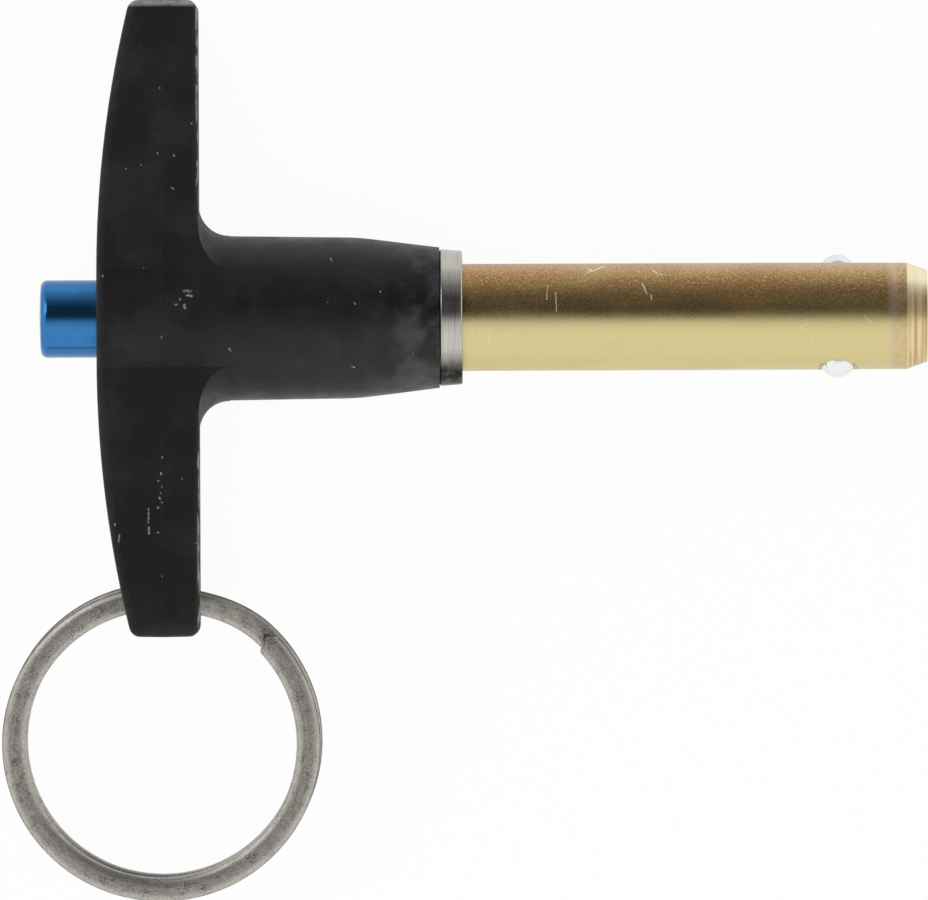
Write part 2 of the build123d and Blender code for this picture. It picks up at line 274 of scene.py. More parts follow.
def skin(name, points, closed_rows=False):
    """One mesh from a grid of points, rows by columns. The columns run round and close; the rows close too if
    asked. Rows that shrink to a point are merged into a pole. Its UV map holds metres along the rows and round
    the columns."""
    rows, columns = points.shape[:2]
    grid = np.arange(rows * columns).reshape(rows, columns)
    along = spacing(points)
    around = np.linspace(0, girth_of(points), columns + 1)
    if closed_rows:
        grid = np.vstack([grid, grid[:1]])
        along = np.r_[along, along[-1] + np.linalg.norm(points[0] - points[-1], axis=1).max()]
    grid = np.hstack([grid, grid[:, :1]])
    u, v = np.meshgrid(along, around, indexing="ij")
    uv = np.stack([u, v], axis=-1)

    def corners(values):
        return np.stack([values[:-1, :-1], values[:-1, 1:], values[1:, 1:], values[1:, :-1]], axis=2)

    mesh = bpy.data.meshes.new(name)
    mesh.from_pydata(points.reshape(-1, 3).tolist(), [], corners(grid).reshape(-1, 4).tolist())
    mesh.uv_layers.new(name="UVMap").data.foreach_set("uv", corners(uv).astype(np.float32).ravel())
    made = bmesh.new()
    made.from_mesh(mesh)
    bmesh.ops.remove_doubles(made, verts=made.verts, dist=1e-8)
    bmesh.ops.recalc_face_normals(made, faces=made.faces)
    made.to_mesh(mesh)
    made.free()
    mesh.polygons.foreach_set("use_smooth", np.ones(len(mesh.polygons), bool))
    mesh.set_sharp_from_angle(angle=radians(32))
    piece = bpy.data.objects.new(name, mesh)
    bpy.context.scene.collection.objects.link(piece)
    return piece


def fit(piece, material, body, node):
    """Finishes a new piece: its material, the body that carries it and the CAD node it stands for."""
    piece.data.materials.append(material)
    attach(piece, body)
    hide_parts(node)


# ---------------------------------------------------------------- what a user would change
def length(name, description, default, **limits):
    """A size that a user can change, in metres."""
    return FloatProperty(
        name=name, description=description, default=default, unit="LENGTH", precision=5, min=0.0, **limits
    )


def colour(name, description, hex_colour):
    """A colour that a user can change. Its default is given as sRGB hex."""
    return FloatVectorProperty(
        name=name, description=description, default=linear(hex_colour), subtype="COLOR", size=4, min=0, max=1
    )


class HandleSettings(PropertyGroup):
    nylon: colour("Nylon", "Colour of the black nylon", "#101011")
    bloom: colour("Bloom", "Colour of the paler, drier patches on the nylon", "#1f1e21")
    haze: colour("Haze", "Colour of the barrel's handled front end", "#454346")
    # this pale colour also paints highlights along the finger face's edge and the far end
    scuff_and_highlight: colour("Scuff", "Colour of scratches and rubbed specks", "#a09e9b")
    grain: length("Grain", "Size of the grain that the glass fibres leave", 0.35 * MM)
    parting_line: length("Parting line", "How far the mould's parting line is behind the finger face", 3.3 * MM)


class ShankSettings(PropertyGroup):
    straw: colour("Straw", "Plating where it is pale", "#d8cb94")
    copper: colour("Copper", "Plating where it is thick and reddish", "#a48153")
    olive: colour("Olive", "Greenish bands in the plating", "#998757")
    tan: colour("Tan", "Plating on the nose, where it has been rubbed", "#cdb384")
    blotch: length("Blotch", "Size of the plating's cloudy patches", 3.5 * MM)


class CollarSettings(PropertyGroup):
    steel: colour("Steel", "Colour of the turned stainless steel", "#c6c4bc")
    # this colour paints shade on the collar's near side, towards the floor
    shade_and_dirt: colour("Dirt", "Colour of the dull dirt on one side", "#24221f")
    edge_radius: length("Edge radius", "Rounding of the two outer edges", 0.2 * MM)
    feed: length("Feed", "Spacing of the turning marks", 0.1 * MM)


class ButtonSettings(PropertyGroup):
    anodising: colour("Anodising", "Dyed colour of the button", "#3b7db8")
    edge_radius: length("Edge radius", "Rounding of the pushed edge", 0.6 * MM)


class BallSettings(PropertyGroup):
    chrome: colour("Ball steel", "Colour of the polished balls", "#f1f1f3")
    columns: IntProperty(name="Columns", description="Faces round each ball", default=96, min=12)


class SpringSettings(PropertyGroup):
    steel: colour("Steel", "Colour of the spring's drawn steel wire", "#a5a39f")
    wire: length("Wire", "Diameter of the spring's wire", 0.65 * MM)
    closed_pitch: length("Closed pitch", "How far the closed coil at each end climbs", 0.67 * MM)
    open_coils: IntProperty(name="Open coils", description="Coils between the closed ones", default=8, min=1)


class RingSettings(PropertyGroup):
    steel: colour("Steel", "Colour of the ring's drawn steel wire", "#99958e")
    tarnish: colour("Tarnish", "Colour of the dull streaks on the wire", "#726e67")
    wire_width: length("Wire width", "Width of the flattened wire, along the ring's radius", 2.13 * MM)
    wire_thickness: length("Wire thickness", "Thickness of the flattened wire", 1.15 * MM)
    coil_gap: length("Coil gap", "Gap between the two coils", 0.04 * MM)
    coil_shift: length("Coil shift", "How far each coil stands off the ring's middle", 0.12 * MM)
    joggle_angle: FloatProperty(
        name="Joggle angle",
        description="How far round the wire climbs from one coil to the other",
        default=radians(35),
        unit="ROTATION",
    )


class StageSettings(PropertyGroup):
    floor: colour("Floor", "Colour of the floor", "#ffffff")
    camera_height: length("Camera height", "How far the camera is above the pin's axis", 3.0)
    view_width: length("View width", "Width that the camera takes in at the pin's axis", 82.5 * MM)


# ---------------------------------------------------------------- materials
def moulded_nylon(settings):
    """Black glass-filled nylon, injection moulded. The fibres leave a fine matt grain, the surface dries to a
    greyish bloom in patches, and handling leaves pale scratches and specks. The pale line along the finger
    face's edge is partly a painted highlight, and the pale rim along the far end is a painted highlight."""
    material = finish_named("moulded_nylon")
    tree = material.node_tree
    where = add(tree, "TexCoord").outputs["Object"]
    x, y, z = add(tree, "SeparateXYZ", where).outputs
    dry = add(tree, "MapRange", blotches(tree, where, 5.0, detail=6), 0.42, 0.68, **EASED)
    body = painted(tree, settings.nylon, settings.bloom, dry)
    # fingers have rubbed a dry haze into the front of the barrel
    front = add(tree, "MapRange", x, -9 * MM, -3 * MM, 0.0, 0.8, **EASED)
    patchy = add(tree, "MapRange", blotches(tree, where, 2.6, detail=6), 0.4, 0.66, **EASED)
    body = painted(tree, body, settings.haze, front, patchy)
    # rubbed specks and a painted highlight follow the edge of the finger face, out on the two arms
    finger_face = parting_x(settings) + settings.parting_line
    edge = add(tree, "MapRange", away_from(tree, x, finger_face), 0.26 * MM, 0.12 * MM, **EASED)
    sideways = add(tree, "Math", y, operation="ABSOLUTE")
    out_on_arm = add(tree, "MapRange", sideways, 9.5 * MM, 12.5 * MM, **EASED)
    height = add(tree, "Math", z, operation="ABSOLUTE")
    rounding = add(tree, "MapRange", height, ARM_TOP - ARM_EDGE, ARM_TOP - 0.8 * ARM_EDGE, **EASED)
    crumbs = blotches(tree, where, 0.5, detail=3, stretch=(1, 4, 1))
    crumbs = add(tree, "MapRange", crumbs, 0.47, 0.53, **EASED)
    # scratches break up along their length
    scored = strokes(tree, where, HANDLE_SCRATCHES, wobble=0.14)
    broken = add(tree, "MapRange", blotches(tree, where, 0.22, detail=3), 0.36, 0.52, 0.1, 1.0, **EASED)
    # painted highlight: the far end of the crossbar is painted pale along its edge, unevenly
    far_end = add(tree, "MapRange", y, handle_high[1] - 0.7 * MM, handle_high[1] - 0.3 * MM, **EASED)
    uneven_end = add(tree, "MapRange", blotches(tree, where, 0.9), 0.25, 0.6, 0.5, 1.0, **EASED)
    marks = joined(
        tree,
        (specks(tree, where, 1.5, 0.22, 0.16), 0.7),
        (edge, out_on_arm, rounding, crumbs, 0.8),
        (scored, broken, 0.85),
        (far_end, rounding, uneven_end),
    )
    # scratches, specks and the painted highlights are laid on in the same pale colour
    skin_colour = painted(tree, body, settings.scuff_and_highlight, marks)
    # the two mould halves meet in a thin raised line
    line = add(tree, "MapRange", away_from(tree, x, parting_x(settings)), 0.09 * MM, 0.0, **EASED)
    faint = add(tree, "MapRange", blotches(tree, where, 1.6), 0.4, 0.6, 0.3, 1.0, **EASED)
    ridge = joined(tree, (line, faint))
    # the fibres' grain is too fine to show, so it is drawn as coarse as it needs to be
    grain = blotches(tree, where, settings.grain / MM, detail=4)
    sink = blotches(tree, where, 7.0, detail=2)
    raised = relief(tree, (sink, 0.12), (grain, 0.02), (ridge, 0.05), (marks, 0.02))
    # hands have polished the barrel more than the crossbar
    polished = add(tree, "MapRange", x, finger_face - 2.5 * MM, finger_face + 4 * MM, **EASED)
    uneven = add(tree, "MapRange", blotches(tree, where, 2.2, detail=5), 0.3, 0.7, -0.07, 0.07, **EASED)
    roughness = add(tree, "MapRange", polished, 0.0, 1.0, 0.56, 0.44, **EASED)
    roughness = add(tree, "Math", roughness, uneven, operation="ADD")
    specular = add(tree, "MapRange", polished, 0.0, 1.0, 0.24, 0.34, **EASED)
    close(
        tree,
        Base_Color=skin_colour,
        Roughness=roughness,
        Specular_IOR_Level=specular,
        Sheen_Weight=0.07,
        Sheen_Roughness=0.35,
        Sheen_Tint=linear("#c4bab0"),
        Normal=raised,
    )
    return material


def parting_x(settings):
    """Where the parting line stands along the pin, in metres. The finger face is one barrel's length behind the
    collar."""
    return collar_low[0] - BARREL_LENGTH - settings.parting_line


# scratches and nicks in the nylon: x, y, x, y, half width, in mm
HANDLE_SCRATCHES = [
    # the scuffed patch beside the button
    (-24.7, 2.45, -24.1, 2.4, 0.17),
    (-24.4, 2.05, -24.0, 1.95, 0.16),
    (-24.65, 1.15, -24.6, 0.95, 0.20),
    (-25.45, 1.25, -25.35, 1.25, 0.16),
    (-25.05, 1.7, -25.0, 1.65, 0.12),
    # knocks on the near arm
    (-27.9, -17.2, -27.95, -18.1, 0.10),
    (-27.9, -18.5, -27.9, -19.1, 0.12),
    (-27.9, -16.9, -27.9, -17.0, 0.11),
    (-30.5, -19.2, -30.6, -19.9, 0.10),
    (-30.9, -18.2, -30.9, -18.35, 0.09),
    (-26.95, -15.9, -26.9, -16.0, 0.14),
    (-26.75, -16.3, -26.7, -16.35, 0.11),
    (-26.8, -13.75, -26.8, -13.85, 0.14),
    (-27.1, -16.75, -27.05, -16.8, 0.12),
    (-27.05, -14.4, -27.0, -14.45, 0.11),
    (-26.75, -14.95, -26.75, -15.0, 0.12),
    (-26.85, -15.45, -26.8, -15.5, 0.09),
    (-27.1, -19.0, -27.05, -19.05, 0.12),
    (-26.7, -12.3, -26.7, -12.35, 0.13),
    (-26.8, -22.85, -26.75, -22.9, 0.09),
    (-25.0, -14.2, -24.95, -14.25, 0.10),
    # single nicks along the barrel and on the far arm
    (-20.7, -2.7, -20.6, -2.9, 0.12),
    (-26.7, -1.6, -26.7, -1.8, 0.10),
    (-11.7, 5.3, -11.6, 5.1, 0.11),
    (-9.8, -4.3, -9.6, -4.4, 0.10),
    (-9.6, 1.3, -9.5, 1.2, 0.09),
    (-31.9, 3.9, -31.9, 3.7, 0.10),
    (-25.8, 11.6, -25.6, 11.5, 0.11),
    (-25.6, 14.5, -25.5, 14.4, 0.09),
    (-26.8, 20.5, -26.8, 20.4, 0.10),
]


def chromated_zinc(settings):
    """Zinc plate with a yellow chromate passivation, over turned steel. The film's colour runs from pale straw
    to copper and olive with its thickness, and the turning marks still show through it. Its darker far half is
    partly painted shade, its far edge partly a painted highlight, and its chamfer carries a painted highlight."""
    material = finish_named("chromated_zinc")
    tree = material.node_tree
    where = add(tree, "TexCoord").outputs["Object"]
    x, y, _ = add(tree, "SeparateXYZ", where).outputs
    cloud = blotches(tree, where, settings.blotch / MM, detail=6, stretch=(2.2, 1, 1))
    # the film is pale on the near side, thick and patched with olive past the middle, and tan at the far edge;
    # the darker far half is partly painted shade, and the lighter far edge partly a painted highlight
    olive = blotches(tree, where, 6.0, detail=3, stretch=(3, 1, 1))
    olive = add(tree, "MapRange", olive, 0.4, 0.65, 0.35, 1.0, **EASED)
    middle = add(tree, "MapRange", y, 3.0 * MM, 1.2 * MM, **EASED)
    warm = painted(tree, settings.copper, settings.olive, olive, middle)
    edge = add(tree, "MapRange", y, 3.4 * MM, 4.6 * MM, **EASED)
    warm = painted(tree, warm, linear("#c7a279"), edge)
    blushed = add(tree, "MapRange", cloud, 0.5, 0.8, 0.0, 0.12, **EASED)
    pale = painted(tree, settings.straw, settings.copper, blushed)
    side = add(tree, "MapRange", y, -0.6 * MM, 1.0 * MM, **EASED)
    thick = add(tree, "MapRange", cloud, 0.2, 0.6, 0.75, 1.0, **EASED)
    film = painted(tree, pale, warm, side, thick)
    # the nose is mottled
    nose = add(tree, "MapRange", x, shank_high[0] - 3.4 * MM, shank_high[0] - 2.9 * MM, **EASED)
    mottle = add(tree, "MapRange", blotches(tree, where, 0.7, detail=5), 0.3, 0.65, 0.35, 0.95, **EASED)
    film = painted(tree, film, settings.tan, nose, mottle)
    # the film is grainy where it is thick and nearly even where it is pale; its own grain is too fine to show,
    # so it is drawn as coarse as it needs to be
    peel = blotches(tree, where, 0.18, detail=4, roughness=0.7)
    grainy = add(tree, "MapRange", side, 0.0, 1.0, 0.25, 1.0, **EASED)
    # the pale specks grow stronger towards the far edge, partly as painted glints
    light = add(tree, "MapRange", peel, 0.52, 0.64, 0.0, 0.8, **EASED)
    far_side = add(tree, "MapRange", y, 1.0 * MM, 3.2 * MM, 0.45, 1.0, **EASED)
    film = painted(tree, film, linear("#e3bd90"), light, grainy, far_side)
    dark = add(tree, "MapRange", peel, 0.48, 0.36, 0.0, 0.5, **EASED)
    film = painted(tree, film, linear("#6a5230"), dark, grainy)
    scored = strokes(tree, where, SHANK_SCRATCHES)
    film = painted(tree, film, linear("#fbf4e2"), scored, 0.85)
    # a rack mark crosses the shank near its tip
    rack = away_from(tree, x, shank_high[0] - 3.1 * MM)
    rack = add(tree, "MapRange", rack, 0.6 * MM, 0.2 * MM, **EASED)
    film = painted(tree, film, linear("#d6bda6"), rack, 0.4)
    # the chamfer keeps its turning lines, drawn coarser than the tool's feed to show, and its far side is
    # painted bright, a painted highlight
    chamfer = add(tree, "MapRange", x, shank_high[0] - 1.85 * MM, shank_high[0] - 1.75 * MM, **EASED)
    turning = blotches(tree, where, 0.22, detail=3, roughness=0.5, stretch=(1, 50, 50))
    ridges = add(tree, "MapRange", turning, 0.38, 0.62, **EASED)
    lines = painted(tree, linear("#c6a373"), linear("#eedcae"), ridges)
    film = painted(tree, film, lines, chamfer, 0.75)
    bright = add(tree, "MapRange", y, 1.4 * MM, 3.4 * MM, 0.0, 0.85, **EASED)
    film = painted(tree, film, linear("#fff4d2"), chamfer, bright)
    raised = relief(tree, (turning, 0.003), (peel, 0.01), (scored, 0.01))
    roughness = add(tree, "MapRange", cloud, 0.3, 0.7, 0.26, 0.36, **EASED)
    close(tree, Base_Color=film, Metallic=1.0, Roughness=roughness, Normal=raised)
    return material


# scratches in the plating: x, y, x, y, half width, in mm
SHANK_SCRATCHES = [
    (11.1, 3.9, 12.6, 4.5, 0.07),
    (11.0, 4.3, 11.5, 4.15, 0.09),
    (16.9, 4.1, 17.7, 3.7, 0.07),
    (16.0, 2.9, 16.35, 2.05, 0.12),
    (16.75, 1.9, 16.85, 1.5, 0.07),
    (7.6, 2.9, 7.5, 1.55, 0.06),
    (8.3, 2.15, 8.35, 0.5, 0.04),
    (12.6, -0.5, 12.9, -0.8, 0.04),
    (29.7, -0.65, 30.0, -0.95, 0.04),
    (35.7, -0.05, 36.3, -0.65, 0.05),
    (2.2, -2.5, 2.6, -1.1, 0.03),
]


def turned_stainless(settings):
    """Stainless steel, finish turned: a fine thread of tool marks runs round it."""
    material = finish_named("turned_stainless")
    tree = material.node_tree
    where = add(tree, "TexCoord").outputs["Object"]
    # a wave texture repeats every pi / 10 of its scaled length
    feed = add(
        tree,
        "TexWave",
        {"Vector": where, "Scale": per_mm(settings.feed / MM) * pi / 10, "Distortion": 0.6, "Detail": 1.0},
        bands_direction="X",
    ).outputs[1]
    # the tool's finer scratches are drawn as coarse as they need to be to show
    streaks = blotches(tree, where, 0.12, detail=2, stretch=(1, 30, 30))
    raised = relief(tree, (feed, 0.0008), (streaks, 0.001))
    roughness = add(tree, "MapRange", blotches(tree, where, 1.0), 0.3, 0.7, 0.15, 0.22, **EASED)
    bright = add(tree, "MapRange", streaks, 0.3, 0.8, **EASED)
    steel = painted(tree, settings.steel, linear("#adaba4"), bright)
    # painted shade: the near side, towards the floor, is darkened and loses its metal and gloss, in a colour
    # like dull dirt
    y = add(tree, "SeparateXYZ", where).outputs[1]
    near = add(tree, "MapRange", y, -2.5 * MM, -4.9 * MM, **EASED)
    patchy = add(tree, "MapRange", blotches(tree, where, 0.8, detail=5), 0.2, 0.6, 0.8, 1.0, **EASED)
    shaded_near_side = joined(tree, (near, patchy))
    steel = painted(tree, steel, settings.shade_and_dirt, shaded_near_side)
    metallic = add(tree, "MapRange", shaded_near_side, 0.1, 0.9, 1.0, 0.0, **EASED)
    gloss = add(tree, "MapRange", shaded_near_side, 0.1, 0.9, 0.5, 0.05, **EASED)
    close(
        tree,
        Base_Color=steel,
        Metallic=metallic,
        Roughness=roughness,
        Specular_IOR_Level=gloss,
        Normal=raised,
    )
    return material


def anodised_aluminium(settings):
    """Turned aluminium, bead blasted and anodised blue: an even satin dye with tiny dark pits."""
    material = finish_named("blue_anodised_aluminium")
    tree = material.node_tree
    where = add(tree, "TexCoord").outputs["Object"]
    lighter = add(tree, "MapRange", blotches(tree, where, 1.5, detail=4), 0.35, 0.7, 0.0, 0.35, **EASED)
    dye = painted(tree, settings.anodising, linear("#2f6ba6"), lighter)
    pits = specks(tree, where, 0.7, 0.14, 0.25)
    dye = painted(tree, dye, linear("#0e2a4a"), pits, 0.6)
    # the dimples that the beads leave are too fine to show, so they are drawn as coarse as they need to be
    blasted = blotches(tree, where, 0.12, detail=3)
    unpitted = add(tree, "Math", 1.0, pits, operation="SUBTRACT")
    raised = relief(tree, (blasted, 0.006), (unpitted, 0.02))
    close(tree, Base_Color=dye, Metallic=1.0, Roughness=0.17, Normal=raised)
    return material


def polished_ball_steel(settings):
    """Through-hardened ball steel, lapped to a mirror, with the faintest handling haze."""
    material = finish_named("lapped_ball_steel")
    tree = material.node_tree
    where = add(tree, "TexCoord").outputs["Object"]
    haze = add(tree, "MapRange", blotches(tree, where, 0.5), 0.3, 0.8, 0.03, 0.08, **EASED)
    close(tree, Base_Color=settings.chrome, Metallic=1.0, Roughness=haze)
    return material


def drawn_wire(settings, cut_start, girth):
    """Drawn and rolled steel wire, tumbled after coiling: dull grey, with tarnish in streaks along the wire and
    dirt and painted shade on its outer flank. The outer half of the cut at the end of the run is painted near
    white, a painted highlight."""
    material = finish_named("tumbled_steel_wire")
    tree = material.node_tree
    where = add(tree, "TexCoord").outputs["Object"]
    run = add(tree, "TexCoord").outputs["UV"]
    # the drawing marks and the tumbled grain are too fine to show, so both are as coarse as they need to be
    streaks = blotches(tree, run, 0.16, detail=5, stretch=(7, 1, 1))
    cloud = blotches(tree, where, 1.1, detail=6)
    grain = blotches(tree, where, 0.17, detail=4, roughness=0.75)
    streaked = add(tree, "MapRange", streaks, 0.4, 0.66, **EASED)
    patchy = add(tree, "MapRange", cloud, 0.35, 0.62, 0.2, 0.9, **EASED)
    steel = painted(tree, settings.steel, settings.tarnish, streaked, patchy)
    light = add(tree, "MapRange", grain, 0.5, 0.66, 0.0, 0.4, **EASED)
    steel = painted(tree, steel, linear("#d4d1cb"), light)
    dark = add(tree, "MapRange", grain, 0.5, 0.34, 0.0, 0.4, **EASED)
    steel = painted(tree, steel, linear("#66625c"), dark)
    # dark flecks sit in a few patches of the wire
    few = add(tree, "MapRange", cloud, 0.54, 0.62, **EASED)
    flecks = add(tree, "MapRange", grain, 0.52, 0.44, **EASED)
    steel = painted(tree, steel, linear("#3b3733"), few, flecks, 0.5)
    # handling has rubbed the wire's shoulders bright; its outer flank, where v is 0, is darkened with dirt and
    # painted shade
    u, v, _ = add(tree, "SeparateXYZ", run).outputs
    angle = add(tree, "Math", v, 2 * pi / girth, operation="MULTIPLY")
    outward = add(tree, "Math", angle, operation="COSINE")
    side = add(tree, "Math", outward, operation="ABSOLUTE")
    shoulder = add(tree, "MapRange", side, 0.2, 0.75, 0.0, 0.6, **EASED)
    worn = add(tree, "MapRange", grain, 0.35, 0.6, 0.5, 1.0, **EASED)
    steel = painted(tree, steel, linear("#d3cfc7"), shoulder, worn)
    flank = add(tree, "MapRange", outward, 0.86, 0.97, 0.0, 0.9, **EASED)
    caked = add(tree, "MapRange", cloud, 0.3, 0.6, 0.7, 1.0, **EASED)
    shade_and_dirt = joined(tree, (flank, caked))
    steel = painted(tree, steel, linear("#35322f"), shade_and_dirt)
    # painted highlight: the outer half of the cut at the upper end is painted near white
    at_end = add(tree, "MapRange", u, cut_start - 0.15 * MM, cut_start - 0.11 * MM, **EASED)
    outer_top = add(tree, "MapRange", v, 0.22 * girth, 0.19 * girth, **EASED)
    cut_highlight = joined(tree, (at_end, outer_top))
    steel = painted(tree, steel, linear("#efece6"), cut_highlight)
    raised = relief(tree, (streaks, 0.008), (grain, 0.006))
    roughness = add(tree, "MapRange", cloud, 0.3, 0.7, 0.36, 0.46, **EASED)
    # the painted highlight and the dirty, shaded flank are made less metallic
    less_metallic = joined(tree, (cut_highlight,), (shade_and_dirt,))
    metallic = add(tree, "MapRange", less_metallic, 0.0, 1.0, 1.0, 0.3, **EASED)
    close(tree, Base_Color=steel, Metallic=metallic, Roughness=roughness, Normal=raised)
    return material


def ring_axis():
    """The direction of the split ring's axis: straight up, leant towards the near side."""
    return np.array([0, -sin(RING_TILT), cos(RING_TILT)])


def plain_steel(name, steel, roughness):
    """Bare ground or drawn steel for the hidden pieces, with fine marks round the axis."""
    material = finish_named(name)
    tree = material.node_tree
    where = add(tree, "TexCoord").outputs["Object"]
    # grinding marks are too fine to show, so they are drawn as coarse as they need to be
    marks = blotches(tree, where, 0.15, detail=3, stretch=(1, 20, 20))
    bright = add(tree, "MapRange", marks, 0.3, 0.8, **EASED)
    steel = painted(tree, steel, linear("#6d6b68"), bright)
    close(tree, Base_Color=steel, Metallic=1.0, Roughness=roughness, Normal=relief(tree, (marks, 0.004)))
    return material


# ---------------------------------------------------------------- operators
class PIN_OT_handle(Operator):
    """Dress the moulded handle in black nylon"""

    bl_idname = "ball_lock_pin.handle"
    bl_label = "Handle"

    def execute(self, context):
        wear(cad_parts["handle"], moulded_nylon(context.scene.pin_handle))
        return {"FINISHED"}


class PIN_OT_shank(Operator):
    """Dress the plated shank"""

    bl_idname = "ball_lock_pin.shank"
    bl_label = "Shank"

    def execute(self, context):
        wear(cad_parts["shank"], chromated_zinc(context.scene.pin_shank))
        return {"FINISHED"}


class PIN_OT_collar(Operator):
    """Turn the collar between the handle and the shank"""

    bl_idname = "ball_lock_pin.collar"
    bl_label = "Collar"

    def execute(self, context):
        settings = context.scene.pin_collar
        back, front = collar_low[0], collar_high[0]
        outer = collar_high[1]
        # it is a little smaller at the front, and a shallow recess in its front face clears the shank
        front_outer = outer - 0.15 * MM
        bore, recess, recess_depth = 4.42 * MM, 4.8125 * MM, 0.12 * MM
        corners = [
            (back, bore),
            (back, outer),
            (front, front_outer),
            (front, recess),
            (front - recess_depth, recess),
            (front - recess_depth, bore),
            (back, bore),
        ]
        edge = settings.edge_radius
        profile = rounded(corners, [edge, edge, 0.03 * MM, 0, 0.03 * MM])[:-1]
        piece = skin("collar_turned", turned(profile, 240), closed_rows=True)
        fit(piece, turned_stainless(settings), "body", "collar")
        return {"FINISHED"}


class PIN_OT_balls(Operator):
    """Make the two locking balls"""

    bl_idname = "ball_lock_pin.balls"
    bl_label = "Locking balls"

    def execute(self, context):
        settings = context.scene.pin_balls
        material = polished_ball_steel(settings)
        for node in ("ball_upper", "ball_lower"):
            low, high = place(node)
            middle, radius = (low + high) / 2, (high - low).mean() / 2
            # latitude runs from pole to pole along the pin and longitude runs round it
            latitude = np.linspace(0, pi, settings.columns // 2 + 1)
            profile = np.stack([-np.cos(latitude), np.sin(latitude)], axis=1) * radius
            piece = skin(node + "_lapped", turned(profile, settings.columns) + middle)
            fit(piece, material, node, node)
        return {"FINISHED"}


class PIN_OT_button(Operator):
    """Turn the push button"""

    bl_idname = "ball_lock_pin.button"
    bl_label = "Button"

    def execute(self, context):
        settings = context.scene.pin_button
        back, front = button_low[0], button_high[0]
        # a flange at the front keeps the button in the handle, and the spindle stands in the socket behind it
        shaft, flange = 3.45 * MM, button_high[1]
        flange_back, dome = front - 1.2 * MM, 0.15 * MM
        socket, socket_end = 1.77 * MM, front - 5.62 * MM
        # the pushed face is a shallow dome: its height falls with the square of the distance from the axis
        reach = np.linspace(0, shaft - settings.edge_radius * 1.2, 12)
        face = np.stack([back + dome * (reach / shaft) ** 2, reach], axis=1)
        side = rounded(
            [
                face[-1],
                (back + dome, shaft),
                (flange_back, shaft),
                (flange_back, flange),
                (front, flange),
                (front, socket),
                (socket_end, socket),
                (socket_end, 0),
            ],
            [settings.edge_radius, 0, 0.1 * MM, 0.1 * MM, 0.1 * MM, 0],
        )
        piece = skin("button_anodised", turned(np.vstack([face[:-1], side]), 192))
        fit(piece, anodised_aluminium(settings), "plunger", "button")
        return {"FINISHED"}


class PIN_OT_spindle(Operator):
    """Dress the spindle that carries the button and works the balls"""

    bl_idname = "ball_lock_pin.spindle"
    bl_label = "Spindle"

    def execute(self, context):
        wear(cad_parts["spindle"], plain_steel("ground_spindle_steel", linear("#b4b2af"), 0.28))
        return {"FINISHED"}


class PIN_OT_return_spring(Operator):
    """Wind the return spring behind the button"""

    bl_idname = "ball_lock_pin.return_spring"
    bl_label = "Return spring"

    def execute(self, context):
        settings = context.scene.pin_spring
        low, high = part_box("return_spring")
        long = high[0] - low[0]
        radius = (high[2] - low[2] - settings.wire) / 2
        # the first row and the last are doubled, to be drawn together into the poles that close the wire
        turns = settings.open_coils + 2
        rows = 48 * turns + 1
        turn = np.linspace(0, turns, rows)[[0, *range(rows), rows - 1]]
        wire = np.full(rows + 2, settings.wire / 2)
        wire[[0, -1]] = 0
        # a helix: the middle of the wire goes round at the radius, and climbs one closed pitch over the first
        # turn, one over the last and evenly between; the section is a circle in the plane through the axis
        reached = [0, settings.closed_pitch, long - settings.closed_pitch, long]
        climb = np.interp(turn, [0, 1, turns - 1, turns], reached)
        t = np.arange(16) * 2 * pi / 16
        x = low[0] + climb[:, None] + wire[:, None] * np.sin(t)
        reach = radius + wire[:, None] * np.cos(t)
        angle = 2 * pi * turn[:, None]
        # both ends are ground flat: what would pass them is drawn back to them
        points = np.stack([np.clip(x, low[0], high[0]), reach * np.cos(angle), reach * np.sin(angle)], axis=-1)
        spring = skin("return_spring_wire", points)
        material = plain_steel("drawn_spring_wire", settings.steel, 0.34)
        fit(spring, material, "body", "return_spring")
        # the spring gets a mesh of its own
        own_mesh(spring)
        return {"FINISHED"}


def wire_section(width, thickness, squareness=2.4, points=48):
    """The flattened wire's outline, as (across, up) points: a superellipse, where the shares of the half width
    and of the half thickness, each raised to the squareness, add up to 1. It lies between an ellipse and a flat
    bar with rounded corners."""
    t = np.arange(points) * 2 * pi / points
    c, s = np.cos(t), np.sin(t)
    across = np.sign(c) * np.abs(c) ** (2 / squareness) * width / 2
    up = np.sign(s) * np.abs(s) ** (2 / squareness) * thickness / 2
    return np.stack([across, up], axis=1)


